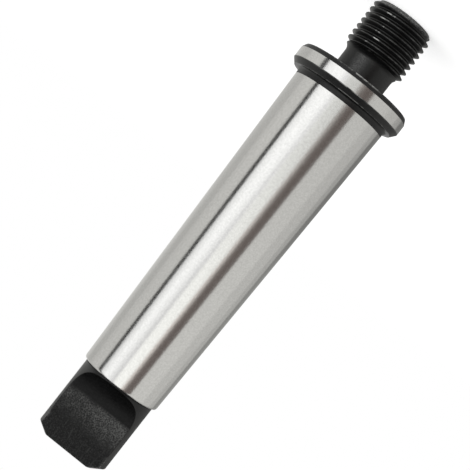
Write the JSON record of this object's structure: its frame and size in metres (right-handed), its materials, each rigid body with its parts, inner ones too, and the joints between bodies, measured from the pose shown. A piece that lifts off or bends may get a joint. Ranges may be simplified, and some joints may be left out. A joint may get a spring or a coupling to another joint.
{
  "type": "drill chuck arbor",
  "caption": "One-piece steel arbor: a ground self-holding taper with a tang, a collar and a threaded stud that a drill chuck screws onto.",
  "frame": {"origin": "centre of the threaded stud's end face, which is the lowest face and the one the arbor stands on", "axes": "+Z is the arbor's axis, up from the stud to the tang. The tang's two flats face -Y and +Y."},
  "size_m": [0.0293, 0.0292, 0.123],
  "materials": {
    "arbor": "ground bright on the taper and the collar's rim, satin black oxide on the tang, the collar's faces, the neck and the thread"
  },
  "bodies": {
    "root": {"arbor": "arbor"}
  },
  "joints": []
}
